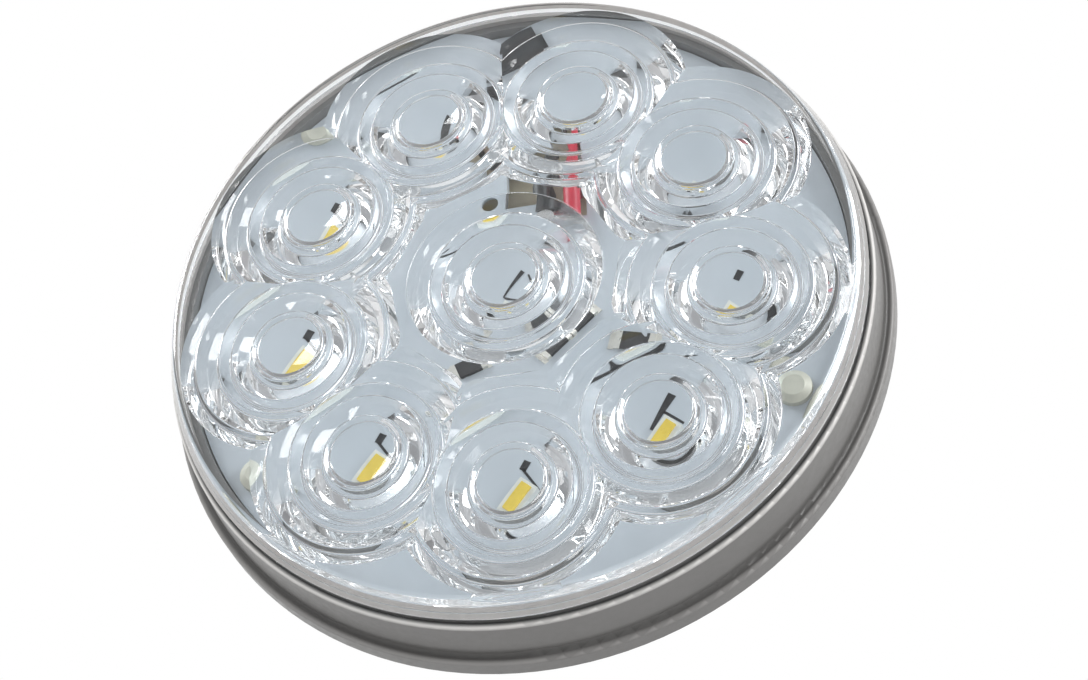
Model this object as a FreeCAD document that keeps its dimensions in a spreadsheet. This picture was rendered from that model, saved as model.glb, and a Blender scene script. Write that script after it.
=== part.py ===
import FreeCAD, Part
import math
import os
import Sketcher

# Round sealed LED lamp, four inch class. Every piece is drawn in the lamp's own axes, with the optical
# axis along local +Z and the flange's rear face at local zero. LAMP_POSE then turns the lamp to hang on
# an upright panel: it shines along -Y, +Z is up, and the origin is the centre of the flange's rear face.

DRIVING_SIZES = [
    # housing
    ("flange_radius", 54.5, "rim that sits in the grommet's groove"),
    ("flange_thick", 3.2, ""),
    ("flange_round", 0.7, "radius on the flange's edges"),
    ("barrel_foot_radius", 53.1, "front barrel where it leaves the flange"),
    ("barrel_foot_round", 0.7, ""),
    ("rim_radius", 52.7, "front barrel at its rim"),
    ("rim_height", 11.0, "rim above the flange's rear face"),
    ("rim_round", 0.55, ""),
    ("bore_radius", 49.2, "inside of the barrel"),
    ("board_seat", 7.8, "height of the ledge that carries the board"),
    ("cup_radius", 49.0, "rear cup where it meets the flange"),
    ("cup_back_radius", 47.6, ""),
    ("cup_depth", 13.0, "rear cup behind the flange"),
    ("cup_wall", 2.4, ""),
    ("ledge_inner", 47.6, "inside edge of the board's ledge"),
    ("floor_thick", 2.6, ""),
    ("cup_round", 1.2, "radius round the cup's back edge"),
    ("post_radius", 3.4, "screw posts inside the cup"),
    ("post_circle", 44.9, ""),
    ("post_hole_radius", 1.25, ""),
    ("post_hole_depth", 8.5, ""),
    ("rib_count", 6, "ribs on the cup's back"),
    ("rib_height", 1.2, ""),
    ("rib_width", 1.8, ""),
    ("rib_inner", 17.5, ""),
    ("rib_outer", 44.0, ""),
    # socket on the back
    ("socket_width", 29.0, ""),
    ("socket_height", 17.0, ""),
    ("socket_length", 9.5, "boss behind the cup's back"),
    ("socket_wall", 1.9, ""),
    ("socket_corner", 3.2, ""),
    ("socket_depth", 10.3, "well, from the boss's mouth"),
    ("key_width", 4.0, "polarity rib in the well"),
    ("key_height", 1.3, ""),
    # terminals
    ("pin_radius", 2.0, "prong that the plug's terminal slides on"),
    ("pin_root_radius", 2.4, "where the pin passes through the floor"),
    ("pin_spacing", 14.0, ""),
    ("pin_length", 18.0, ""),
    ("pin_recess", 2.0, "pin tip below the well's mouth"),
    ("pin_collar_radius", 3.1, ""),
    ("pin_collar_thick", 1.2, ""),
    ("carrier_radius", 13.5, "insulating plate that holds the pins"),
    ("carrier_thick", 2.0, ""),
    # potting behind the board
    ("potting_top", 5.9, "level of the potting"),
    # board
    ("board_radius", 49.0, ""),
    ("board_thick", 1.6, ""),
    ("slot_length", 12.0, "opening that the two leads come up through"),
    ("slot_width", 10.2, ""),
    ("slot_x", 5.2, ""),
    ("slot_y", 18.4, ""),
    ("vent_radius", 1.05, "small hole beside the slot"),
    ("vent_x", -2.8, ""),
    ("vent_y", 14.5, ""),
    ("screw_hole_radius", 1.6, ""),
    # optics
    ("pitch_radius", 32.9, "circle of the outer optics"),
    ("lens_radius", 51.95, ""),
    ("lens_front", 18.7, "middle of the crowned front"),
    ("crown", 2.5, "drop of the front from the middle to the shoulder"),
    ("shoulder_radius", 50.5, "edge of the front, above the slanted side"),
    ("lens_edge", 12.7, "top of the lens's upright edge"),
    ("lens_round", 0.9, ""),
    ("lens_foot", 11.9, "underside of the lens's edge"),
    ("plate_thick", 2.4, ""),
    ("skirt_inner", 50.1, "inside of the lens's edge"),
    ("seal_outer", 51.4, ""),
    ("seal_inner", 50.2, ""),
    ("dome_height", 0.35, "low dome over each LED, as wide as the first ring's foot"),
    ("wall_draft", 0.4, "lean of each ring's steep inner wall"),
    ("ring_1_inner", 4.7, "foot of the ring's steep inner wall"),
    ("ring_1_depth", 1.2, "tip below the plate"),
    ("ring_2_inner", 5.9, ""),
    ("ring_2_depth", 2.6, ""),
    ("ring_3_inner", 9.0, ""),
    ("ring_3_depth", 3.8, ""),
    ("ring_4_inner", 11.1, ""),
    ("ring_4_depth", 2.4, ""),
    ("ring_5_inner", 14.6, "also the outer edge of the middle optic"),
    ("ring_5_depth", 1.8, ""),
    ("optic_radius", 17.0, "outer edge of the fifth ring"),
    # parts on the board
    ("led_length", 5.0, ""),
    ("led_width", 2.6, ""),
    ("led_height", 0.9, ""),
    ("phosphor_length", 4.1, ""),
    ("phosphor_width", 1.45, ""),
    ("phosphor_height", 0.22, "stands out of the package"),
    ("phosphor_sink", 0.35, "reaches into the package"),
    ("resistor_length", 5.0, ""),
    ("resistor_width", 2.5, ""),
    ("resistor_height", 0.6, ""),
    ("diode_length", 7.0, ""),
    ("diode_width", 5.9, ""),
    ("diode_height", 1.8, ""),
    ("diode_lead", 0.9, ""),
    ("small_diode_length", 4.3, ""),
    ("small_diode_width", 3.6, ""),
    ("small_diode_height", 1.8, ""),
    ("screw_head_radius", 2.6, ""),
    ("screw_head_height", 1.5, ""),
    ("screw_shank_radius", 1.2, ""),
    ("screw_length", 9.0, ""),
    ("wire_radius", 1.25, ""),
    ("wire_lift", 1.3, "middle of a lead above the board's top"),
    ("wire_level", -4.0, "middle of a lead where it crosses in the potting"),
    ("solder_radius", 1.9, ""),
    ("solder_height", 1.9, ""),
]

OUTER_OPTICS = 9
FIRST_OPTIC_DEG = 270.0
RINGS = 5
LED_TURN_DEG = 50.0
# how far each LED sits from its optic's axis, across and up: the middle one first, then round the circle
LED_SHIFTS = ((-2.0, -1.7), (-0.35, 0.3), (-0.6, -0.5), (-1.6, -2.2), (-1.6, -2.2), (-1.4, -1.8),
              (-1.4, -1.6), (-0.35, 0.0), (-0.35, 0.3), (-0.35, 0.3))
FUSE_TOLERANCE = 1e-4  # millimetres; the ring feet lie almost flush with the curved plate
SCREW_DEGS = (131.5, 211.5, 331.5)
# chip resistors: across, up and turn of each one on the board
RESISTOR_SPOTS = ((-7.0, -10.3, 20.0), (9.55, -4.85, 42.0), (5.65, -8.35, 42.0), (18.0, -12.4, 165.0))
# the socket's two pins: name, side, and where its lead comes up through the board
PINS = (("power", 1.0, 9.3), ("ground", -1.0, 4.7))

doc = FreeCAD.newDocument("round_led_lamp")
sheet = doc.addObject("Spreadsheet::Sheet", "Sizes")
LAMP_POSE = FreeCAD.Placement(FreeCAD.Vector(0, 0, 0), FreeCAD.Rotation(FreeCAD.Vector(1, 0, 0), 90))


class Size:
    """A length that carries both its value and the spreadsheet formula that gives it."""

    def __init__(self, value, formula):
        self.value = value
        self.formula = formula

    def __add__(self, other):
        other = as_size(other)
        return Size(self.value + other.value, f"({self.formula} + {other.formula})")

    def __sub__(self, other):
        other = as_size(other)
        return Size(self.value - other.value, f"({self.formula} - {other.formula})")

    def __mul__(self, factor):
        return Size(self.value * factor, f"({self.formula} * {factor})")

    def __neg__(self):
        return self * -1


def as_size(number):
    return number if isinstance(number, Size) else Size(float(number), str(float(number)))


def fill_sheet():
    """Write the driving sizes to the sheet and return them by name."""
    sizes = {}
    for row, (alias, value, note) in enumerate(DRIVING_SIZES, start=1):
        sheet.set(f"A{row}", alias)
        sheet.set(f"B{row}", str(value))
        sheet.setAlias(f"B{row}", alias)
        sheet.set(f"C{row}", note)
        sizes[alias] = Size(float(value), f"Sizes.{alias}")
    doc.recompute()
    return sizes


S = fill_sheet()
BOARD_TOP = S["board_seat"] + S["board_thick"]
PLATE_BACK = S["lens_front"] - S["plate_thick"]
ZERO = as_size(0)


def bind(thing, field, size):
    thing.setExpression(field, as_size(size).formula)


def new_body(label):
    body = doc.addObject("PartDesign::Body", label)
    body.Label = label
    return body


def new_sketch(body, role, height=None):
    """A sketch on one of the body's own origin planes, lifted along the plane's normal by height."""
    sketch = body.newObject("Sketcher::SketchObject", body.Label + "_outline")
    plane = next(item for item in body.Origin.OriginFeatures if item.Role == role)
    sketch.AttachmentSupport = (plane, [""])
    sketch.MapMode = "FlatFace"
    if height is not None:
        bind(sketch, "AttachmentOffset.Base.z", height)
    return sketch


def pin_point(sketch, edge, end, spot):
    """Tie one end of an edge to its distances across and up from the sketch's origin."""
    for axis, kind, size in ((-2, "DistanceX", spot[0]), (-1, "DistanceY", spot[1])):
        size = as_size(size)
        if abs(size.value) < 1e-9:
            sketch.addConstraint(Sketcher.Constraint("PointOnObject", edge, end, axis))
            continue
        index = sketch.addConstraint(Sketcher.Constraint(kind, -1, 1, edge, end, size.value))
        bind(sketch, f"Constraints[{index}]", size)


def flat_vector(spot):
    return FreeCAD.Vector(as_size(spot[0]).value, as_size(spot[1]).value, 0)


def bow_point(start, stop):
    """Middle of the arc between two corners whose centre lies on the sketch's vertical axis."""
    centre = (stop.x ** 2 + stop.y ** 2 - start.x ** 2 - start.y ** 2) / (2 * (stop.y - start.y))
    radius = math.hypot(start.x, start.y - centre)
    across = (start.x + stop.x) / 2
    side = 1 if start.y > centre else -1
    return FreeCAD.Vector(across, centre + side * math.sqrt(radius ** 2 - across ** 2), 0)


def draw_outline(sketch, corners, bows=()):
    """Closed outline through the corners; edges numbered in bows are arcs centred on the vertical axis."""
    first = sketch.GeometryCount
    count = len(corners)
    ends = []
    for index in range(count):
        start = flat_vector(corners[index])
        stop = flat_vector(corners[(index + 1) % count])
        if index in bows:
            middle = bow_point(start, stop)
            clockwise = (middle - start).cross(stop - start).z < 0
            arc = Part.Arc(stop, middle, start) if clockwise else Part.Arc(start, middle, stop)
            sketch.addGeometry(arc, False)
            ends.append((2, 1) if clockwise else (1, 2))
        else:
            sketch.addGeometry(Part.LineSegment(start, stop), False)
            ends.append((1, 2))
    for index in range(count):
        after = (index + 1) % count
        link = (first + index, ends[index][1], first + after, ends[after][0])
        sketch.addConstraint(Sketcher.Constraint("Coincident", *link))
        pin_point(sketch, first + index, ends[index][0], corners[index])
    for index in bows:
        sketch.addConstraint(Sketcher.Constraint("PointOnObject", first + index, 3, -2))


def draw_circle(sketch, radius, spot=(0, 0)):
    radius = as_size(radius)
    index = sketch.addGeometry(Part.Circle(flat_vector(spot), FreeCAD.Vector(0, 0, 1), radius.value), False)
    pin_point(sketch, index, 3, spot)
    bound = sketch.addConstraint(Sketcher.Constraint("Radius", index, radius.value))
    bind(sketch, f"Constraints[{bound}]", radius)


def box_corners(length, width, spot=(0, 0)):
    across, up = as_size(spot[0]), as_size(spot[1])
    half_length, half_width = length * 0.5, width * 0.5
    return [(across - half_length, up - half_width), (across + half_length, up - half_width),
            (across + half_length, up + half_width), (across - half_length, up + half_width)]


def set_tip(body, feature):
    body.Tip = feature
    doc.recompute()
    return feature


def revolve(body, corners, bows=(), kind="Revolution"):
    """Turn a half section, given as (radius, height), right round the body's Z axis."""
    sketch = new_sketch(body, "XZ_Plane")
    draw_outline(sketch, corners, bows)
    turned = body.newObject(f"PartDesign::{kind}", f"{body.Label}_{kind.lower()}")
    turned.Profile = sketch
    turned.ReferenceAxis = (sketch, ["V_Axis"])
    turned.Angle = 360
    return set_tip(body, turned)


def extrude(body, sketch, length, kind="Pad", down=False):
    before = body.Tip.Shape.Volume if body.Tip else 0.0
    solid = body.newObject(f"PartDesign::{kind}", f"{body.Label}_{kind.lower()}")
    solid.Profile = sketch
    bind(solid, "Length", length)
    solid.Reversed = down
    set_tip(body, solid)
    change = solid.Shape.Volume - before
    if (kind == "Pad") != (change > 0):
        raise RuntimeError(f"{solid.Name} changed the volume by {change:.3f}")
    return solid


def pad(body, sketch, length, down=False):
    return extrude(body, sketch, length, "Pad", down)


def pocket(body, sketch, length, up=False):
    """Cut downwards from the sketch, or upwards."""
    return extrude(body, sketch, length, "Pocket", up)


def soften(body, picks, size, kind="Fillet"):
    """Round or bevel the edges of the body's last feature that picks accepts."""
    base = body.Tip
    names = [f"Edge{number}" for number, edge in enumerate(base.Shape.Edges, start=1) if picks(edge)]
    if not names:
        raise RuntimeError(f"no edge to soften on {body.Label}")
    softened = body.newObject(f"PartDesign::{kind}", f"{body.Label}_{kind.lower()}")
    softened.Base = (base, names)
    bind(softened, "Radius" if kind == "Fillet" else "Size", size)
    return set_tip(body, softened)


def ring_edge(radius, height):
    """Picks a circular edge round the Z axis by its radius and height."""
    radius, height = as_size(radius).value, as_size(height).value

    def picks(edge):
        if edge.Degenerated:
            return False
        curve = edge.Curve
        if not isinstance(curve, Part.Circle) or curve.Center.x ** 2 + curve.Center.y ** 2 > 1e-6:
            return False
        return abs(curve.Radius - radius) < 1e-3 and abs(curve.Center.z - height) < 1e-3
    return picks


def upright_edge(edge):
    """Picks a straight edge along Z."""
    if not isinstance(edge.Curve, Part.Line):
        return False
    return abs(abs(edge.Curve.Direction.z) - 1) < 1e-6


def place(thing, across=0.0, up=0.0, height=0.0, turn=0.0):
    """Put a sub-part at its place in the lamp, then turn the lamp to face along -Y."""
    spin = FreeCAD.Rotation(FreeCAD.Vector(0, 0, 1), turn)
    thing.Placement = LAMP_POSE * FreeCAD.Placement(FreeCAD.Vector(across, up, height), spin)


def polar(radius, degrees):
    angle = math.radians(degrees)
    return radius * math.cos(angle), radius * math.sin(angle)


# The sub-parts ------------------------------------------------------------------------------------------

def make_housing():
    """Grey cup with the mounting flange, the board's ledge and posts, and the socket's boss."""
    body = new_body("housing")
    back = -S["cup_depth"]
    floor = back + S["floor_thick"]
    inner_floor = S["cup_back_radius"] - S["cup_wall"]
    revolve(body, [
        (0, back), (S["cup_back_radius"], back), (S["cup_radius"], 0), (S["flange_radius"], 0),
        (S["flange_radius"], S["flange_thick"]), (S["barrel_foot_radius"], S["flange_thick"]),
        (S["rim_radius"], S["rim_height"]), (S["bore_radius"], S["rim_height"]),
        (S["bore_radius"], S["board_seat"]), (S["ledge_inner"], S["board_seat"]), (inner_floor, floor),
        (0, floor)])
    soften(body, ring_edge(S["flange_radius"], S["flange_thick"]), S["flange_round"])
    soften(body, ring_edge(S["barrel_foot_radius"], S["flange_thick"]), S["barrel_foot_round"])
    soften(body, ring_edge(S["rim_radius"], S["rim_height"]), S["rim_round"])
    soften(body, ring_edge(S["cup_back_radius"], back), S["cup_round"])

    posts = new_sketch(body, "XY_Plane", floor)
    for degrees in SCREW_DEGS:
        draw_circle(posts, S["post_radius"], post_spot(degrees))
    pad(body, posts, S["board_seat"] - floor)
    holes = new_sketch(body, "XY_Plane", S["board_seat"])
    for degrees in SCREW_DEGS:
        draw_circle(holes, S["post_hole_radius"], post_spot(degrees))
    pocket(body, holes, S["post_hole_depth"])

    rib = new_sketch(body, "XY_Plane", back)
    rib_length = S["rib_outer"] - S["rib_inner"]
    draw_outline(rib, box_corners(rib_length, S["rib_width"], ((S["rib_outer"] + S["rib_inner"]) * 0.5, 0)))
    first_rib = pad(body, rib, S["rib_height"], down=True)
    ring = body.newObject("PartDesign::PolarPattern", "housing_ribs")
    ring.Originals = [first_rib]
    ring.Axis = (rib, ["N_Axis"])
    ring.Angle = 360
    bind(ring, "Occurrences", S["rib_count"])
    set_tip(body, ring)

    boss = new_sketch(body, "XY_Plane", back)
    draw_outline(boss, box_corners(S["socket_width"], S["socket_height"]))
    pad(body, boss, S["socket_length"], down=True)
    mouth = back - S["socket_length"]
    soften(body, lambda edge: upright_edge(edge) and edge.BoundBox.ZMin < mouth.value + 0.01,
           S["socket_corner"])
    well = new_sketch(body, "XY_Plane", mouth)
    clear_width = S["socket_width"] - S["socket_wall"] * 2
    clear_height = S["socket_height"] - S["socket_wall"] * 2
    draw_outline(well, box_corners(clear_width, clear_height))
    pocket(body, well, S["socket_depth"], up=True)
    soften(body, lambda edge: upright_edge(edge) and edge.BoundBox.ZMin < mouth.value + 0.01
           and edge.BoundBox.XMax < clear_width.value / 2 + 0.01
           and edge.BoundBox.XMin > -clear_width.value / 2 - 0.01
           and edge.BoundBox.YMax < clear_height.value / 2 + 0.01
           and edge.BoundBox.YMin > -clear_height.value / 2 - 0.01, S["socket_wall"] * 0.7)
    key = new_sketch(body, "XY_Plane", mouth + S["pin_recess"])
    key_middle = clear_height * 0.5 - S["key_height"] * 0.5
    draw_outline(key, box_corners(S["key_width"], S["key_height"], (0, key_middle)))
    pad(body, key, S["socket_depth"] - S["pin_recess"])
    pin_holes = new_sketch(body, "XY_Plane", floor)
    for side in (1, -1):
        draw_circle(pin_holes, S["pin_root_radius"], (S["pin_spacing"] * (0.5 * side), 0))
    pocket(body, pin_holes, S["floor_thick"])
    place(body)
    return body


def post_spot(degrees):
    across, up = polar(1.0, degrees)
    return S["post_circle"] * across, S["post_circle"] * up


def sag(radius):
    """How far the crowned front has fallen at a radius from the optical axis."""
    edge, drop = S["shoulder_radius"].value, S["crown"].value
    sphere = (edge ** 2 + drop ** 2) / (2 * drop)
    return sphere - math.sqrt(sphere ** 2 - radius ** 2)


def make_lens():
    """Clear lens: a crowned disc with a slanted shoulder, and ten ringed optics on its inside."""
    disc = new_body("lens_disc")
    shoulder = S["lens_front"] - S["crown"]
    plate_edge = PLATE_BACK - sag(S["skirt_inner"].value)
    revolve(disc, [
        (0, S["lens_front"]), (0, PLATE_BACK), (S["skirt_inner"], plate_edge),
        (S["skirt_inner"], S["lens_foot"]), (S["lens_radius"], S["lens_foot"]),
        (S["lens_radius"], S["lens_edge"]), (S["shoulder_radius"], shoulder)], bows=(1, 6))
    soften(disc, ring_edge(S["shoulder_radius"], shoulder), S["lens_round"])
    centre = make_optic("optic_centre", RINGS - 1)
    outer = make_optic("optic_outer", RINGS)
    cell = new_body("optic_cell")
    half_pitch = S["pitch_radius"] * 0.5
    spread = math.tan(math.pi / OUTER_OPTICS)
    far = S["lens_radius"]
    wedge = new_sketch(cell, "XY_Plane", S["rim_height"] - S["ring_3_depth"])
    draw_outline(wedge, [(half_pitch, half_pitch * -spread), (far, far * -spread),
                         (far, far * spread), (half_pitch, half_pitch * spread)])
    pad(cell, wedge, S["lens_front"] - S["rim_height"] + S["ring_3_depth"])
    pitch = S["pitch_radius"].value
    lean = FreeCAD.Rotation(FreeCAD.Vector(0, 1, 0), math.degrees(math.asin(2 * sag(pitch) / pitch)))
    spot = FreeCAD.Vector(pitch, 0, -sag(pitch))
    outer.Placement = FreeCAD.Placement(spot, lean, FreeCAD.Vector(0, 0, PLATE_BACK.value))
    doc.recompute()
    trimmed = outer.Shape.common(cell.Shape)
    pieces = [centre.Shape]
    for number in range(OUTER_OPTICS):
        copy = trimmed.copy()
        turn = FIRST_OPTIC_DEG + number * 360.0 / OUTER_OPTICS
        copy.rotate(FreeCAD.Vector(0, 0, 0), FreeCAD.Vector(0, 0, 1), turn)
        pieces.append(copy)
    whole = disc.Shape.multiFuse(pieces, FUSE_TOLERANCE).removeSplitter()
    lens = doc.addObject("Part::Feature", "lens")
    lens.Label = "lens"
    lens.Shape = whole.Solids[0] if len(whole.Solids) == 1 else whole
    place(lens)
    return lens


def make_optic(label, rings):
    """One optic: a low dome, then rings with a steep inner wall and a slanted outer face."""
    body = new_body(label)
    base = PLATE_BACK
    corners = [(0, base + 0.6), (0, base - S["dome_height"]), (S["ring_1_inner"], base)]
    for number in range(1, rings + 1):
        foot = corners[-1][0]
        outer = S[f"ring_{number + 1}_inner"] if number < RINGS else S["optic_radius"]
        corners.append((foot + S["wall_draft"], base - S[f"ring_{number}_depth"]))
        corners.append((outer, base))
    corners.append((corners[-1][0], base + 0.6))
    revolve(body, corners, bows=(1,))
    return body


def make_seal():
    body = new_body("lens_seal")
    revolve(body, [(S["seal_inner"], S["rim_height"]), (S["seal_outer"], S["rim_height"]),
                   (S["seal_outer"], S["lens_foot"]), (S["seal_inner"], S["lens_foot"])])
    place(body)
    return body


def make_board():
    """White board with the leads' slot, the small hole and three screw holes."""
    body = new_body("circuit_board")
    disc = new_sketch(body, "XY_Plane", S["board_seat"])
    draw_circle(disc, S["board_radius"])
    pad(body, disc, S["board_thick"])
    cuts = new_sketch(body, "XY_Plane", BOARD_TOP)
    draw_outline(cuts, box_corners(S["slot_length"], S["slot_width"], (S["slot_x"], S["slot_y"])))
    draw_circle(cuts, S["vent_radius"], (S["vent_x"], S["vent_y"]))
    for degrees in SCREW_DEGS:
        draw_circle(cuts, S["screw_hole_radius"], post_spot(degrees))
    pocket(body, cuts, S["board_thick"])
    place(body)
    return body


def make_block(label, length, width, height, corner=None):
    body = new_body(label)
    base = new_sketch(body, "XY_Plane")
    draw_outline(base, box_corners(length, width))
    pad(body, base, height)
    if corner is not None:
        soften(body, upright_edge, corner)
    return body


def make_led(number, across, up, turn):
    """White package with a shallow well, and the yellow phosphor that fills it."""
    package = make_block(f"led_{number:02d}", S["led_length"], S["led_width"], S["led_height"])
    well = new_sketch(package, "XY_Plane", S["led_height"])
    draw_outline(well, box_corners(S["phosphor_length"], S["phosphor_width"]))
    pocket(package, well, S["phosphor_sink"])
    place(package, across, up, BOARD_TOP.value, turn)
    fill = make_block(f"led_{number:02d}_phosphor", S["phosphor_length"], S["phosphor_width"],
                      S["phosphor_sink"] + S["phosphor_height"])
    floor = BOARD_TOP + S["led_height"] - S["phosphor_sink"]
    place(fill, across, up, floor.value, turn)
    return [package, fill]


def make_leds():
    leds = []
    for number, (across, up) in enumerate(LED_SHIFTS):
        if number > 0:
            degrees = FIRST_OPTIC_DEG + (number - 1) * 360.0 / OUTER_OPTICS
            axis_across, axis_up = polar(S["pitch_radius"].value, degrees)
            across, up = axis_across + across, axis_up + up
        leds += make_led(number, across, up, LED_TURN_DEG)
    return leds


def make_resistors():
    resistors = []
    for number, (across, up, turn) in enumerate(RESISTOR_SPOTS, start=1):
        chip = make_block(f"chip_resistor_{number}", S["resistor_length"], S["resistor_width"],
                          S["resistor_height"])
        place(chip, across, up, BOARD_TOP.value, turn)
        resistors.append(chip)
    return resistors


def make_diode(label, length, width, height, across, up, turn):
    """Moulded block with a flat lead folded out at each end."""
    body = make_block(label, length, width, height)
    leads = new_sketch(body, "XY_Plane")
    lead = S["diode_lead"]
    reach = length + lead * 2
    draw_outline(leads, box_corners(reach, width * 0.5))
    pad(body, leads, lead * 0.25)
    place(body, across, up, BOARD_TOP.value, turn)
    return body


def make_diodes():
    surge = make_diode("surge_diode", S["diode_length"], S["diode_width"], S["diode_height"], 2.4, 43.0, 20.0)
    guard = make_diode("polarity_diode", S["small_diode_length"], S["small_diode_width"],
                       S["small_diode_height"], 27.5, 9.0, 30.0)
    return [surge, guard]


def make_screws():
    """Three pan-head screws, one solid each, in one node."""
    body = new_body("screw_blank")
    head = S["screw_head_height"]
    revolve(body, [(0, -S["screw_length"]), (S["screw_shank_radius"], -S["screw_length"]),
                   (S["screw_shank_radius"], 0), (S["screw_head_radius"], 0),
                   (S["screw_head_radius"], head * 0.6), (S["screw_head_radius"] * 0.62, head), (0, head)])
    copies = []
    for degrees in SCREW_DEGS:
        across, up = polar(S["post_circle"].value, degrees)
        copy = body.Shape.copy()
        copy.translate(FreeCAD.Vector(across, up, BOARD_TOP.value))
        copies.append(copy)
    screws = doc.addObject("Part::Feature", "board_screws")
    screws.Label = "board_screws"
    screws.Shape = Part.Compound(copies)
    place(screws)
    return screws


def make_pin(name, side):
    """Round terminal pin with a collar against the inside of the housing's floor."""
    body = new_body(f"{name}_pin")
    mouth = -S["cup_depth"] - S["socket_length"]
    tip = mouth + S["pin_recess"]
    well_floor = mouth + S["socket_depth"]
    top = tip + S["pin_length"]
    collar = S["floor_thick"] - S["cup_depth"]
    collar_top = collar + S["pin_collar_thick"]
    revolve(body, [(0, tip), (S["pin_radius"] * 0.55, tip), (S["pin_radius"], tip + 1.2),
                   (S["pin_radius"], well_floor), (S["pin_root_radius"], well_floor),
                   (S["pin_root_radius"], collar), (S["pin_collar_radius"], collar),
                   (S["pin_collar_radius"], collar_top), (S["pin_radius"], collar_top),
                   (S["pin_radius"], top), (0, top)])
    place(body, side * S["pin_spacing"].value / 2)
    return body


def make_carrier():
    """Insulating disc that rests on the pins' collars and keeps them apart."""
    body = new_body("terminal_carrier")
    level = S["floor_thick"] - S["cup_depth"] + S["pin_collar_thick"]
    disc = new_sketch(body, "XY_Plane", level)
    draw_circle(disc, S["carrier_radius"])
    pad(body, disc, S["carrier_thick"])
    holes = new_sketch(body, "XY_Plane", level + S["carrier_thick"])
    for side in (1, -1):
        draw_circle(holes, S["pin_radius"], (S["pin_spacing"] * (0.5 * side), 0))
    pocket(body, holes, S["carrier_thick"])
    place(body)
    return body


def rounded_path(points, radius):
    """Straight runs through the points, joined by tangent arcs of one radius."""
    edges = []
    start = points[0]
    for before, corner, after in zip(points, points[1:], points[2:]):
        inward = (corner - before).normalize()
        outward = (after - corner).normalize()
        turn = inward.getAngle(outward)
        cut = radius * math.tan(turn / 2)
        first = corner - inward * cut
        last = corner + outward * cut
        bisector = (outward - inward).normalize()
        middle = corner + bisector * (radius / math.cos(turn / 2) - radius)
        edges.append(Part.LineSegment(start, first).toShape())
        edges.append(Part.Arc(first, middle, last).toShape())
        start = last
    edges.append(Part.LineSegment(start, points[-1]).toShape())
    return Part.Wire(edges)


def make_wire(name, side, exit_across):
    """Insulated lead from a pin's top, across in the potting, up through the slot and onto the board."""
    pin_across = side * S["pin_spacing"].value / 2
    pin_top = S["pin_recess"].value - S["cup_depth"].value - S["socket_length"].value + S["pin_length"].value
    level = S["wire_level"].value
    crest = BOARD_TOP.value + S["wire_lift"].value
    exit_up = S["slot_y"].value + 1.6
    landing = exit_up - 8.2
    points = [FreeCAD.Vector(pin_across, 0.0, pin_top), FreeCAD.Vector(pin_across, 0.0, pin_top + 3.2),
              FreeCAD.Vector(exit_across, exit_up, level + 4.0), FreeCAD.Vector(exit_across, exit_up, crest),
              FreeCAD.Vector(exit_across, landing, crest)]
    path = rounded_path(points, S["wire_radius"].value * 1.7)
    section = Part.Wire(Part.makeCircle(S["wire_radius"].value, points[0], FreeCAD.Vector(0, 0, 1)))
    wire = doc.addObject("Part::Feature", f"{name}_wire")
    wire.Label = f"{name}_wire"
    wire.Shape = path.makePipeShell([section], True, True)
    place(wire)
    return wire, points[-1]


def make_joints(leads, landings):
    """Solder that holds each lead's end to the board, one solid per lead."""
    mounds = []
    for lead, spot in zip(leads, landings):
        foot = FreeCAD.Vector(spot.x, spot.y - S["solder_radius"].value * 0.6, BOARD_TOP.value)
        mound = Part.makeCone(S["solder_radius"].value, S["solder_radius"].value * 0.6,
                              S["solder_height"].value, foot)
        straight = lead.Shape.copy()
        straight.Placement = FreeCAD.Placement()
        mounds.append(mound.cut(straight))
    joints = doc.addObject("Part::Feature", "solder_joints")
    joints.Label = "solder_joints"
    joints.Shape = Part.Compound(mounds)
    place(joints)
    return joints


def make_potting(buried):
    """Epoxy that fills the cup behind the board, round whatever is buried in it."""
    fill = new_body("potting_blank")
    floor = S["floor_thick"] - S["cup_depth"]
    inner_floor = S["cup_back_radius"] - S["cup_wall"]
    slope = (S["ledge_inner"].value - inner_floor.value) / (S["board_seat"].value - floor.value)
    top_radius = inner_floor + (S["potting_top"] - floor) * slope
    revolve(fill, [(0, floor), (inner_floor, floor), (top_radius, S["potting_top"]), (0, S["potting_top"])])
    posts = new_sketch(fill, "XY_Plane", S["potting_top"])
    for degrees in SCREW_DEGS:
        draw_circle(posts, S["post_radius"], post_spot(degrees))
    pocket(fill, posts, S["potting_top"] - floor)
    place(fill)
    tools = doc.addObject("Part::Compound", "buried_pieces")
    tools.Links = buried
    potting = doc.addObject("Part::Cut", "potting")
    potting.Label = "potting"
    potting.Base = fill
    potting.Tool = tools
    doc.recompute()
    return potting


def check_and_export(pieces):
    """Stop on any failed object or bad shape, then write one STEP file per sub-part."""
    doc.recompute()
    for item in doc.Objects:
        if any(word in item.State for word in ("Invalid", "Error")):
            raise RuntimeError(f"{item.Name} failed: {item.State}")
    for piece in pieces:
        if piece.Shape.isNull() or not piece.Shape.isValid():
            raise RuntimeError(f"{piece.Label} has a bad shape")
    os.makedirs("parts", exist_ok=True)
    for piece in pieces:
        piece.Shape.exportStep(f"parts/{piece.Label}.step")
        print(f"{piece.Label}: {len(piece.Shape.Solids)} solid, {piece.Shape.Volume / 1000:.3f} cm3")


wires = []
landings = []
pins = []
for pin_name, pin_side, lead_across in PINS:
    pins.append(make_pin(pin_name, pin_side))
    lead, landing_spot = make_wire(pin_name, pin_side, lead_across)
    wires.append(lead)
    landings.append(landing_spot)
carrier = make_carrier()
all_pieces = [make_housing(), make_lens(), make_seal(), make_board()]
all_pieces += make_leds() + make_resistors() + make_diodes()
all_pieces += [make_screws(), carrier, make_joints(wires, landings), make_potting(pins + wires + [carrier])]
all_pieces += pins + wires
check_and_export(all_pieces)
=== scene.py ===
"""Looks of the round LED trailer lamp: clear ringed lens, grey housing, white board with its LEDs."""
import math

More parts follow.
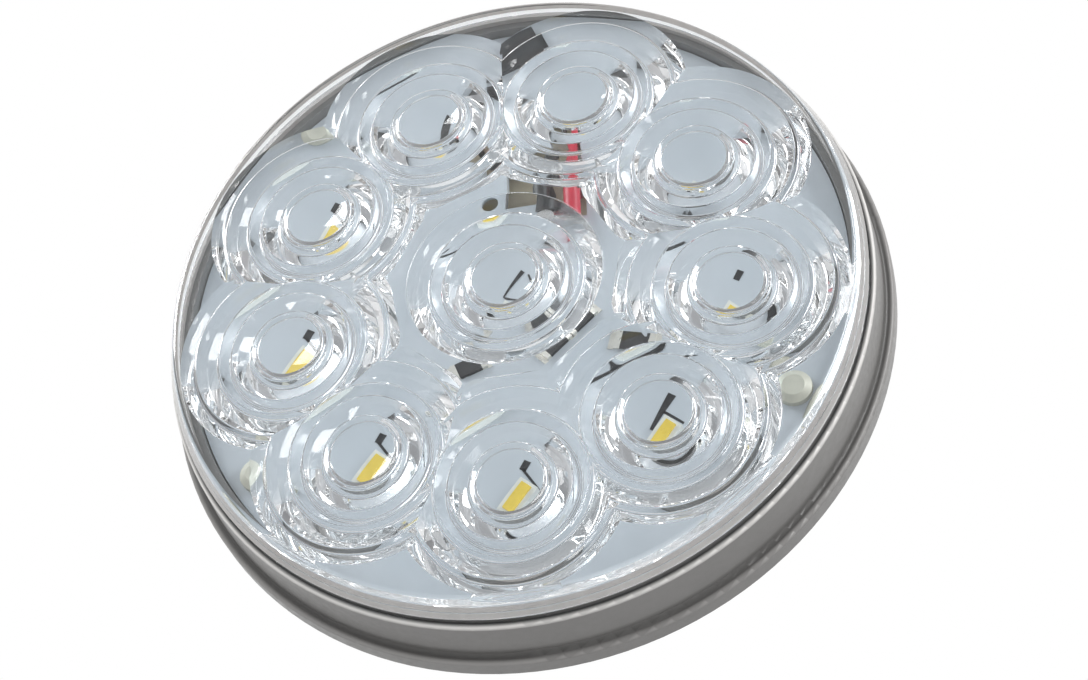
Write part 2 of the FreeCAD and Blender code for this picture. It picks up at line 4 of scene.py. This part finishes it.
import bmesh
import bpy
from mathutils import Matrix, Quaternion, Vector


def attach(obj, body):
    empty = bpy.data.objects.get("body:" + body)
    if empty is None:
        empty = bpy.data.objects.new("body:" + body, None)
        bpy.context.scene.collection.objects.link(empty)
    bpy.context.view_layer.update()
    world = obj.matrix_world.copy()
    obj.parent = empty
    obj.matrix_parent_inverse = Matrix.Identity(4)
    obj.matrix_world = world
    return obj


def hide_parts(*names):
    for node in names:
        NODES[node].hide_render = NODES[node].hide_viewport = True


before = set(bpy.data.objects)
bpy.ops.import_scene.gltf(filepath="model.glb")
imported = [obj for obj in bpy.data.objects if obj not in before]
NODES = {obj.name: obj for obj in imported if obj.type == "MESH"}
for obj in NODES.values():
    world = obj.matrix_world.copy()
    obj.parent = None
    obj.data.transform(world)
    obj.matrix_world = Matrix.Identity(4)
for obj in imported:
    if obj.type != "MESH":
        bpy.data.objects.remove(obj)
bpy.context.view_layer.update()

MM = 0.001

# Sizes in millimetres, in the lamp's own axes: +z is the way it shines, y is up. They repeat the CAD's,
# except those of the marks and of the chips' ends, which are only here.
PITCH = 32.9
OPTICS = 9
HALF_STEP = math.pi / OPTICS
TINY = 1e-9
FIRST_DEG = 270.0
LENS_FRONT = 18.7
CROWN = 2.5
PLATE_THICK = 2.4
SHOULDER_RADIUS = 50.5
LENS_RADIUS = 51.95
LENS_ROUND = 0.9
LENS_EDGE = 12.7
LENS_FOOT = 11.9
WALL_INNER = 50.1
BOARD_TOP = 9.4
FLANGE_RADIUS = 54.5
FLANGE_THICK = 3.2
BARREL_FOOT_RADIUS = 53.1
RIM_RADIUS = 52.7
RIM_HEIGHT = 11.0
DOME_HEIGHT = 0.35
# radii where an optic's rings stand on the plate, outwards from its dome, and how deep each ring reaches
RING_FEET = (4.7, 5.9, 9.0, 11.1, 14.6, 17.0)
RING_DEPTHS = (1.2, 2.6, 3.8, 2.4, 1.8)
DOME_RADIUS = RING_FEET[0]
MIDDLE_RADIUS = RING_FEET[-2]
OPTIC_RADIUS = RING_FEET[-1]
WALL_DRAFT = 0.4
TIP_ROUND = 0.15
CHIP_LENGTH = 5.0
CHIP_WIDTH = 2.5
CHIP_END_START = 1.75
CHIP_END_THICK = 0.63
SOLDER_REACH = 0.7
SOLDER_THICK = 0.12
MARK_THICK = 0.05
# chip resistors: across, up and turn of each
CHIPS = ((-7.0, -10.3, 20.0), (9.55, -4.85, 42.0), (5.65, -8.35, 42.0), (18.0, -12.4, 165.0))
SHORT_MARK = ((0.95, 5.55, 0.25, 4.35, 0.9, 0.85), (0.3, 4.5, 2.15, 1.5, 0.35, 0.3))
# black marks near each LED, by the angle of its optic (None is the middle one): start and end from the
# optic's axis, then the widths at both ends
BOARD_MARKS = {
    None: ((0.8, 4.95, -1.8, 2.0, 0.5, 0.12), (-1.7, 1.95, 0.4, 1.5, 0.15, 0.2),
           (1.4, 4.5, 1.65, 3.5, 0.2, 0.3)),
    270.0: SHORT_MARK, 230.0: SHORT_MARK, 190.0: SHORT_MARK, 150.0: SHORT_MARK,
    310.0: ((0.9, 5.4, -2.0, 1.0, 1.1, 0.4), (-0.4, 3.2, 2.0, 1.4, 0.4, 0.3)),
    110.0: ((1.2, 4.6, -0.9, 1.0, 0.8, 0.5),),
    350.0: ((0.7, 4.9, 0.0, 3.7, 0.9, 0.8),),
}


def to_world(x, y, z):
    """Lamp millimetres to the frame's metres."""
    return Vector((x * MM, -z * MM, y * MM))


def polar(radius, degrees):
    """Across and up of a spot on a circle."""
    return radius * math.cos(math.radians(degrees)), radius * math.sin(math.radians(degrees))


def sag(radius):
    """How far the crowned front has fallen at a radius from the lamp's axis."""
    sphere = (SHOULDER_RADIUS ** 2 + CROWN ** 2) / (2 * CROWN)
    return sphere - math.sqrt(sphere ** 2 - radius ** 2)


def back_level(radius):
    """Level of the lens plate's inside, which runs parallel to the front."""
    return LENS_FRONT - PLATE_THICK - sag(radius)


# Meshes -------------------------------------------------------------------------------------------------

def rounded(points, radii, steps=4):
    """Open outline of straight runs, with each corner between its ends rounded to its own radius."""
    line = [points[0]]
    for before, corner, after, radius in zip(points, points[1:], points[2:], radii):
        corner = Vector(corner)
        inward = (corner - Vector(before)).normalized()
        outward = (Vector(after) - corner).normalized()
        turn = inward.angle(outward)
        cut = radius * math.tan(turn / 2)
        start = corner - inward * cut
        bisector = (outward - inward).normalized()
        centre = corner + bisector * (radius / math.cos(turn / 2))
        spoke = start - centre
        side = 1 if inward.x * outward.y - inward.y * outward.x > 0 else -1
        for step in range(steps + 1):
            angle = side * turn * step / steps
            cos, sin = math.cos(angle), math.sin(angle)
            line.append((centre.x + spoke.x * cos - spoke.y * sin,
                         centre.y + spoke.x * sin + spoke.y * cos))
    line.append(points[-1])
    return line


class Shell:
    """Collects corners and faces; corners that fall on the same spot become one."""

    def __init__(self):
        self.spots = []
        self.faces = []
        self.known = {}

    def spot(self, x, y, z):
        """Number of the corner at a place."""
        key = (round(x, 3), round(y, 3), round(z, 3))
        if key not in self.known:
            self.known[key] = len(self.spots)
            self.spots.append(to_world(x, y, z))
        return self.known[key]

    def face(self, *corners):
        """A face, unless its corners fall together into a line."""
        clean = []
        for corner in corners:
            if corner not in clean:
                clean.append(corner)
        if len(clean) > 2:
            self.faces.append(clean)

    def grid(self, columns):
        """Faces between neighbouring columns of corners."""
        for left, right in zip(columns, columns[1:]):
            for low in range(len(left) - 1):
                self.face(left[low], right[low], right[low + 1], left[low + 1])

    def build(self, name, smooth_deg=35.0):
        """The piece, smooth except where its faces meet at more than an angle."""
        mesh = bpy.data.meshes.new(name)
        mesh.from_pydata(self.spots, [], self.faces)
        work = bmesh.new()
        work.from_mesh(mesh)
        bmesh.ops.recalc_face_normals(work, faces=work.faces)
        work.to_mesh(mesh)
        work.free()
        mesh.polygons.foreach_set("use_smooth", [True] * len(mesh.polygons))
        mesh.set_sharp_from_angle(angle=math.radians(smooth_deg))
        piece = bpy.data.objects.new(name, mesh)
        bpy.context.scene.collection.objects.link(piece)
        weigh = piece.modifiers.new("even_normals", "WEIGHTED_NORMAL")
        weigh.keep_sharp = True
        weigh.weight = 100
        return piece


def spread(start, stop, count):
    """Evenly spaced values from start to stop."""
    return [start + (stop - start) * index / count for index in range(count + 1)]


def optic_profile():
    """Radius and depth below the plate, outwards from an optic's axis: the dome, then its rings."""
    sphere = (DOME_RADIUS ** 2 + DOME_HEIGHT ** 2) / (2 * DOME_HEIGHT)
    dome = []
    for radius in spread(0.0, DOME_RADIUS, 10)[:-1]:
        dome.append((radius, DOME_HEIGHT - sphere + math.sqrt(sphere ** 2 - radius ** 2)))
    corners = [(DOME_RADIUS, 0.0)]
    for foot, next_foot, depth in zip(RING_FEET, RING_FEET[1:], RING_DEPTHS):
        corners.append((foot + WALL_DRAFT, depth))
        corners.append((next_foot, 0.0))
    corners.append((OPTIC_RADIUS + 1.0, 0.0))
    return dome + rounded(corners, [TIP_ROUND] * (len(corners) - 2))


def depth_at(profile, radius):
    """Depth of the profile at a radius, between two of its corners."""
    for (r0, z0), (r1, z1) in zip(profile, profile[1:]):
        if r0 <= radius <= r1 and r1 > r0:
            return z0 + (z1 - z0) * (radius - r0) / (r1 - r0)
    return 0.0


def inside_spot(shell, turn, x, y, depth=0.0):
    """Corner on the lens's inside, at a depth below the plate and turned with its optic."""
    cos, sin = math.cos(turn), math.sin(turn)
    return shell.spot(x * cos - y * sin, x * sin + y * cos, back_level(math.hypot(x, y)) - depth)


def cusp_direction():
    """Where an outer optic's circle meets its neighbour's, as an angle at the optic's own axis."""
    half_gap = PITCH * math.sin(HALF_STEP)
    reach = PITCH * math.cos(HALF_STEP) + math.sqrt(OPTIC_RADIUS ** 2 - half_gap ** 2)
    return math.atan2(reach * math.sin(HALF_STEP), reach * math.cos(HALF_STEP) - PITCH)


# Angles at an outer optic's own axis, where 0 points away from the lamp's axis: along the open circle,
# along the straight borders with its neighbours, and along the border with the middle optic.
CUSP = cusp_direction()
OUTER_ANGLES = spread(-CUSP, CUSP, 56)
SIDE_ANGLES = spread(CUSP, math.pi - HALF_STEP, 44)
MIDDLE_ANGLES = spread(-HALF_STEP, HALF_STEP, 20)
CELL_ANGLES = (OUTER_ANGLES + SIDE_ANGLES[1:] + [math.pi + angle for angle in MIDDLE_ANGLES[1:]]
               + [2 * math.pi - angle for angle in reversed(SIDE_ANGLES[:-1])])


def cell_limit(angle):
    """How far an outer optic's cell reaches from the optic's axis in a direction."""
    bounds = [OPTIC_RADIUS if abs(angle) <= CUSP + TINY else math.inf]
    if math.cos(angle) < 0:
        bounds.append(-PITCH / 2 / math.cos(angle))
    # the cell's side borders pass through the lamp's axis at the half step
    lean = math.sin(abs(angle)) * math.cos(HALF_STEP) - math.cos(angle) * math.sin(HALF_STEP)
    if lean > TINY:
        bounds.append(PITCH * math.sin(HALF_STEP) / lean)
    return min(bounds)


def add_outer_optic(shell, profile, turn):
    """An outer optic, from its axis out to the border of its cell."""
    columns = []
    for angle in CELL_ANGLES:
        cos, sin = math.cos(angle), math.sin(angle)
        folded = (angle + math.pi) % (2 * math.pi) - math.pi
        far = cell_limit(folded)
        column = []
        for radius, depth in profile:
            if radius > far:
                radius, depth = far, depth_at(profile, far)
            column.append(inside_spot(shell, turn, PITCH + radius * cos, radius * sin, depth))
        if abs(abs(folded) - math.pi) <= HALF_STEP + TINY:
            column.append(inside_spot(shell, turn, PITCH + far * cos, far * sin))
        else:
            column.append(column[-1])
        columns.append(column)
    shell.grid(columns)


def add_middle_sector(shell, profile, turn):
    """The middle optic's sector facing one outer optic, with the plain land out to their border."""
    border = PITCH / 2
    columns = []
    for angle in MIDDLE_ANGLES:
        cos, sin = math.cos(angle), math.sin(angle)
        column = []
        for radius, depth in profile:
            if radius <= MIDDLE_RADIUS + TINY:
                column.append(inside_spot(shell, turn, radius * cos, radius * sin, depth))
        column.append(inside_spot(shell, turn, MIDDLE_RADIUS * cos, MIDDLE_RADIUS * sin))
        column.append(inside_spot(shell, turn, border, border * math.tan(angle)))
        columns.append(column)
    shell.grid(columns)


def outer_border(turn):
    """Spots along the open circle of an outer optic."""
    spots = []
    cos, sin = math.cos(turn), math.sin(turn)
    for angle in OUTER_ANGLES[:-1]:
        x, y = PITCH + OPTIC_RADIUS * math.cos(angle), OPTIC_RADIUS * math.sin(angle)
        spots.append((x * cos - y * sin, x * sin + y * cos))
    return spots


def add_outside(shell, border):
    """The lens outside the optics: the skirt, the foot, the slanted shoulder and the crowned front."""
    shoulder_end = SHOULDER_RADIUS - 3.0
    corners = [(WALL_INNER, back_level(WALL_INNER)), (WALL_INNER, LENS_FOOT), (LENS_RADIUS, LENS_FOOT),
               (LENS_RADIUS, LENS_EDGE), (SHOULDER_RADIUS, LENS_FRONT - CROWN),
               (shoulder_end, LENS_FRONT - sag(shoulder_end))]
    side = rounded(corners, (0.15, 0.2, 0.3, LENS_ROUND), steps=6)
    side += [(radius, LENS_FRONT - sag(radius)) for radius in spread(shoulder_end - 2.0, 0.0, 22)]
    columns = []
    for x, y in border:
        angle = math.atan2(y, x)
        column = [shell.spot(x, y, back_level(math.hypot(x, y)))]
        column += [shell.spot(r * math.cos(angle), r * math.sin(angle), z) for r, z in side]
        columns.append(column)
    shell.grid(columns)


def build_lens():
    """One closed clear shell with ten optics inside."""
    shell = Shell()
    profile = optic_profile()
    border = []
    for number in range(OPTICS):
        turn = math.radians(FIRST_DEG + number * 360.0 / OPTICS)
        add_outer_optic(shell, profile, turn)
        add_middle_sector(shell, profile, turn)
        border += outer_border(turn)
    add_outside(shell, border + border[:1])
    return shell.build("lens_clear", smooth_deg=30.0)


def add_bar(shell, start, stop, widths, thick):
    """Flat bar on the board between two spots, tapering from one width to the other."""
    start, stop = Vector(start), Vector(stop)
    along = (stop - start).normalized()
    across = Vector((-along.y, along.x))
    rim = [start - across * widths[0] / 2, stop - across * widths[1] / 2,
           stop + across * widths[1] / 2, start + across * widths[0] / 2]
    foot = [shell.spot(corner.x, corner.y, BOARD_TOP) for corner in rim]
    top = [shell.spot(corner.x, corner.y, BOARD_TOP + thick) for corner in rim]
    shell.face(*foot)
    shell.face(*top)
    for index in range(4):
        after = (index + 1) % 4
        shell.face(foot[index], foot[after], top[after], top[index])


def build_marks():
    """Printed black marks beside the LEDs."""
    shell = Shell()
    for degrees, marks in BOARD_MARKS.items():
        across, up = (0.0, 0.0) if degrees is None else polar(PITCH, degrees)
        for x0, y0, x1, y1, width0, width1 in marks:
            add_bar(shell, (across + x0, up + y0), (across + x1, up + y1), (width0, width1), MARK_THICK)
    return shell.build("board_marks")


def build_chip_ends():
    """Bright ends of the chip resistors, and the solder that runs out from them."""
    shell = Shell()
    half = CHIP_LENGTH / 2
    # where each starts and stops from the chip's middle, its width and its thickness
    cap = (CHIP_END_START, half + 0.03, CHIP_WIDTH + 0.06, CHIP_END_THICK)
    solder = (half, half + SOLDER_REACH, CHIP_WIDTH + 0.3, SOLDER_THICK)
    for across, up, turn in CHIPS:
        cos, sin = math.cos(math.radians(turn)), math.sin(math.radians(turn))
        for side in (-1, 1):
            for start, stop, width, thick in (cap, solder):
                near, far = start * side, stop * side
                add_bar(shell, (across + near * cos, up + near * sin),
                        (across + far * cos, up + far * sin), (width, width), thick)
    return shell.build("chip_ends")


# Materials ----------------------------------------------------------------------------------------------

class Recipe:
    """A node material under construction: a Principled shader with helpers to feed it."""

    def __init__(self, name, colour, rough, **sockets):
        self.material = bpy.data.materials.new(name)
        self.material.use_nodes = True
        self.tree = self.material.node_tree
        self.shader = self.tree.nodes["Principled BSDF"]
        self.shader.inputs["Base Color"].default_value = (*colour, 1)
        self.shader.inputs["Roughness"].default_value = rough
        for socket, value in sockets.items():
            self.shader.inputs[socket.replace("_", " ")].default_value = value
        self.colour = colour
        self.place = self.tree.nodes.new("ShaderNodeTexCoord").outputs["Object"]

    def node(self, kind, **values):
        """A new node; each value goes to its socket or setting of that name."""
        made = self.tree.nodes.new("ShaderNode" + kind)
        for name, value in values.items():
            if name in made.inputs:
                made.inputs[name].default_value = value
            else:
                setattr(made, name, value)
        return made

    def link(self, source, target):
        self.tree.links.new(source, target)

    def noise(self, scale, detail=3.0):
        """Cloudy factor in the piece's own coordinates."""
        made = self.node("TexNoise", Scale=scale, Detail=detail, Roughness=0.55)
        self.link(self.place, made.inputs["Vector"])
        return made.outputs["Fac"]

    def blend(self, factor, first, second, low, high):
        """The first colour where the factor is low, the second where it is high."""
        ramp = self.node("ValToRGB")
        self.link(factor, ramp.inputs["Fac"])
        ramp.color_ramp.elements[0].position = low
        ramp.color_ramp.elements[0].color = (*first, 1)
        ramp.color_ramp.elements[1].position = high
        ramp.color_ramp.elements[1].color = (*second, 1)
        return ramp.outputs["Color"]

    def mottle(self, amount, scale):
        """Faint cloudy variation of the base colour."""
        darker = [max(0.0, c * (1 - amount)) for c in self.colour]
        lighter = [min(1.0, c * (1 + amount)) for c in self.colour]
        cloudy = self.blend(self.noise(scale), darker, lighter, 0.3, 0.7)
        self.link(cloudy, self.shader.inputs["Base Color"])

    def vary_rough(self, low, high, scale):
        """Roughness that wanders between two values."""
        stretch = self.node("MapRange")
        stretch.inputs["From Min"].default_value = 0.3
        stretch.inputs["From Max"].default_value = 0.7
        stretch.inputs["To Min"].default_value = low
        stretch.inputs["To Max"].default_value = high
        self.link(self.noise(scale), stretch.inputs["Value"])
        self.link(stretch.outputs["Result"], self.shader.inputs["Roughness"])

    def near_ring(self, radius, level, reach):
        """One on a circle round the lamp's axis, falling to nought at the reach (all in millimetres)."""
        split = self.node("SeparateXYZ")
        self.link(self.place, split.inputs["Vector"])
        flat = self.node("CombineXYZ")
        self.link(split.outputs["X"], flat.inputs["X"])
        self.link(split.outputs["Z"], flat.inputs["Y"])
        spoke = self.node("VectorMath", operation="LENGTH")
        self.link(flat.outputs["Vector"], spoke.inputs[0])
        section = self.node("CombineXYZ")
        self.link(spoke.outputs["Value"], section.inputs["X"])
        self.link(split.outputs["Y"], section.inputs["Y"])
        gap = self.node("VectorMath", operation="DISTANCE")
        self.link(section.outputs["Vector"], gap.inputs[0])
        gap.inputs[1].default_value = (radius * MM, -level * MM, 0.0)
        fade = self.node("MapRange")
        fade.inputs["From Min"].default_value = reach * MM
        fade.inputs["From Max"].default_value = 0.0
        self.link(gap.outputs["Value"], fade.inputs["Value"])
        return fade.outputs["Result"]

    def tint(self, base, factor, colour):
        """The base colour with another laid over it by a factor."""
        made = self.node("MixRGB")
        self.link(factor, made.inputs["Fac"])
        self.link(base, made.inputs["Color1"])
        made.inputs["Color2"].default_value = (*colour, 1)
        return made.outputs["Color"]

    def bump(self, height, strength, distance):
        """Fine relief that follows a height."""
        made = self.node("Bump", Strength=strength, Distance=distance)
        self.link(height, made.inputs["Height"])
        self.link(made.outputs["Normal"], self.shader.inputs["Normal"])


def grey_plastic():
    """Grey moulding with a random tone, plus painted shade and painted highlights on circles round the
    lamp's axis.
    """
    recipe = Recipe("housing_grey", (0.184, 0.180, 0.175), 0.36)
    recipe.vary_rough(0.3, 0.44, 900)
    recipe.bump(recipe.noise(4200, 2.0), 0.12, 0.00008)
    tone_and_painted_light = recipe.blend(recipe.noise(60), (0.175, 0.171, 0.166), (0.193, 0.189, 0.184), 0.3, 0.7)
    # painted shade in the corner at the barrel's foot, painted highlights on the flange's edge and the
    # barrel's rim, painted shade in the seam beside the lens
    for radius, level, reach, colour in ((BARREL_FOOT_RADIUS, FLANGE_THICK, 1.7, (0.05, 0.048, 0.045)),
                                         (FLANGE_RADIUS, FLANGE_THICK, 0.8, (0.36, 0.35, 0.34)),
                                         (RIM_RADIUS, RIM_HEIGHT, 0.8, (0.95, 0.93, 0.90)),
                                         (LENS_RADIUS, RIM_HEIGHT, 0.55, (0.01, 0.01, 0.01))):
        tone_and_painted_light = recipe.tint(tone_and_painted_light, recipe.near_ring(radius, level, reach), colour)
    recipe.link(tone_and_painted_light, recipe.shader.inputs["Base Color"])
    return recipe.material


def clear_plastic():
    """Polished clear plastic. Lamp and diffuse rays pass straight through, so the board is lit."""
    recipe = Recipe("lens_clear", (0.975, 0.985, 0.99), 0.01, IOR=1.58)
    recipe.shader.inputs["Transmission Weight"].default_value = 1.0
    recipe.bump(recipe.noise(160, 2.0), 0.05, 0.0001)
    path = recipe.node("LightPath")
    either = recipe.node("Math", operation="MAXIMUM")
    recipe.link(path.outputs["Is Shadow Ray"], either.inputs[0])
    recipe.link(path.outputs["Is Diffuse Ray"], either.inputs[1])
    through = recipe.node("BsdfTransparent")
    through.inputs["Color"].default_value = (0.93, 0.95, 0.96, 1)
    mix = recipe.node("MixShader")
    recipe.link(either.outputs[0], mix.inputs[0])
    recipe.link(recipe.shader.outputs[0], mix.inputs[1])
    recipe.link(through.outputs[0], mix.inputs[2])
    recipe.link(mix.outputs[0], recipe.tree.nodes["Material Output"].inputs["Surface"])
    return recipe.material


def plain(name, colour, rough, scale=700, **sockets):
    """One colour with faint mottling, an uneven sheen and a fine grain."""
    recipe = Recipe(name, colour, rough, **sockets)
    recipe.mottle(0.06, scale)
    recipe.vary_rough(rough * 0.85, min(1.0, rough * 1.2), scale * 1.7)
    recipe.bump(recipe.noise(scale * 4, 2.0), 0.15, 0.00005)
    return recipe.material


def dress(node, material):
    """Give a CAD node one material."""
    piece = NODES[node]
    piece.data.materials.clear()
    piece.data.materials.append(material)
    piece.data.polygons.foreach_set("material_index", [0] * len(piece.data.polygons))


# Camera, light and floor --------------------------------------------------------------------------------

CAMERA_AZIMUTH = 12.08
CAMERA_ELEVATION = -32.27
CAMERA_ROLL = -1.775
CAMERA_DISTANCE = 0.400
CAMERA_AIM = Vector((0.00191, 0.0, -0.00063))
CAMERA_LENS = 88.9
FLOOR_LEVEL = -0.62
BACKDROP = (0.0, 0.86, 0.5)


def make_camera():
    """Camera in front of the lamp and below it, looking up."""
    azimuth, elevation = math.radians(CAMERA_AZIMUTH), math.radians(CAMERA_ELEVATION)
    away = Vector((math.cos(elevation) * math.sin(azimuth), -math.cos(elevation) * math.cos(azimuth),
                   math.sin(elevation)))
    camera = bpy.data.objects.new("camera", bpy.data.cameras.new("camera"))
    bpy.context.scene.collection.objects.link(camera)
    camera.location = CAMERA_AIM + away * CAMERA_DISTANCE
    roll = Quaternion((0, 0, 1), math.radians(CAMERA_ROLL))
    camera.rotation_euler = ((-away).to_track_quat("-Z", "Y") @ roll).to_euler()
    camera.data.lens = CAMERA_LENS
    camera.data.sensor_width = 36.0
    camera.data.clip_start = 0.01
    bpy.context.scene.camera = camera


def make_world():
    """White backdrop behind and above the lamp, turning grey towards the front and below."""
    world = bpy.data.worlds.new("studio")
    bpy.context.scene.world = world
    world.use_nodes = True
    tree = world.node_tree
    back = tree.nodes["Background"]
    coordinates = tree.nodes.new("ShaderNodeTexCoord")
    toward = tree.nodes.new("ShaderNodeVectorMath")
    toward.operation = "DOT_PRODUCT"
    toward.inputs[1].default_value = BACKDROP
    lift = tree.nodes.new("ShaderNodeMapRange")
    lift.inputs["From Min"].default_value = -1.0
    lift.inputs["From Max"].default_value = 1.0
    ramp = tree.nodes.new("ShaderNodeValToRGB")
    stops = ramp.color_ramp.elements
    stops[0].position, stops[0].color = 0.0, (0.16, 0.16, 0.165, 1)
    stops[1].position, stops[1].color = 0.80, (1, 1, 1, 1)
    middle = stops.new(0.50)
    middle.color = (0.62, 0.62, 0.63, 1)
    tree.links.new(coordinates.outputs["Generated"], toward.inputs[0])
    tree.links.new(toward.outputs["Value"], lift.inputs["Value"])
    tree.links.new(lift.outputs["Result"], ramp.inputs["Fac"])
    tree.links.new(ramp.outputs["Color"], back.inputs["Color"])
    back.inputs["Strength"].default_value = 1.0


def make_softbox(name, place, size, watts):
    """Soft light that points at the lamp."""
    light = bpy.data.lights.new(name, "AREA")
    light.shape = "RECTANGLE"
    light.size, light.size_y = size
    light.energy = watts
    stand = bpy.data.objects.new(name, light)
    bpy.context.scene.collection.objects.link(stand)
    stand.location = place
    stand.rotation_euler = (-Vector(place)).to_track_quat("-Z", "Y").to_euler()


def make_floor():
    """Pale floor well below the lamp, out of the camera's sight."""
    work = bmesh.new()
    bmesh.ops.create_grid(work, x_segments=24, y_segments=24, size=4.0)
    for corner in work.verts:
        corner.co.z = FLOOR_LEVEL
    mesh = bpy.data.meshes.new("floor")
    work.to_mesh(mesh)
    work.free()
    floor = bpy.data.objects.new("floor", mesh)
    bpy.context.scene.collection.objects.link(floor)
    recipe = Recipe("floor_pale", (0.68, 0.68, 0.68), 0.7)
    recipe.mottle(0.01, 3)
    mesh.materials.append(recipe.material)


def allow_bounces():
    """Enough bounces for light that the lens turns back inside itself several times."""
    cycles = bpy.context.scene.cycles
    cycles.max_bounces = 24
    cycles.glossy_bounces = 16
    cycles.transmission_bounces = 20


def set_view():
    """Plain display colours, so that the white backdrop stays white."""
    view = bpy.context.scene.view_settings
    view.view_transform = "Standard"
    view.look = "None"


make_camera()
make_world()
make_floor()
make_softbox("key", (-0.95, -0.55, 0.95), (0.6, 0.6), 13)
make_softbox("fill", (1.0, -0.45, 0.35), (0.35, 1.0), 9)
set_view()
allow_bounces()

# The lamp -----------------------------------------------------------------------------------------------

lens = build_lens()
lens.data.materials.append(clear_plastic())
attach(lens, "root")
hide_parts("lens")

marks = build_marks()
marks.data.materials.append(plain("mark_black", (0.004, 0.004, 0.005), 0.8))
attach(marks, "root")

chip_ends = build_chip_ends()
chip_ends.data.materials.append(plain("chip_ends_tin", (0.78, 0.76, 0.70), 0.3, Metallic=0.6))
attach(chip_ends, "root")

dress("housing", grey_plastic())
dress("lens_seal", plain("seal_taupe", (0.40, 0.37, 0.35), 0.5))
dress("circuit_board", plain("board_white", (0.60, 0.64, 0.68), 0.35, 90))
dress("potting", plain("potting_tan", (0.78, 0.69, 0.50), 0.45, 200))
dress("board_screws", plain("screw_zinc", (0.60, 0.59, 0.50), 0.45, Metallic=0.2))
dress("solder_joints", plain("solder", (0.75, 0.75, 0.75), 0.25, Metallic=1.0))
dress("terminal_carrier", plain("carrier_black", (0.03, 0.03, 0.03), 0.5))
dress("power_wire", plain("wire_red", (0.62, 0.02, 0.05), 0.4))
dress("ground_wire", plain("wire_black", (0.02, 0.02, 0.02), 0.4))
brass = plain("pin_brass", (0.82, 0.66, 0.36), 0.25, Metallic=1.0)
led_white = plain("led_package", (0.85, 0.85, 0.80), 0.35)
phosphor = plain("phosphor_yellow", (0.95, 0.68, 0.08), 0.3)
chip_black = plain("chip_black", (0.010, 0.010, 0.011), 0.6)
for node in sorted(NODES):
    if node.endswith("_pin"):
        dress(node, brass)
    elif node.endswith("_phosphor"):
        dress(node, phosphor)
    elif node.startswith("led_"):
        dress(node, led_white)
    elif node.startswith("chip_") or node.endswith("_diode"):
        dress(node, chip_black)
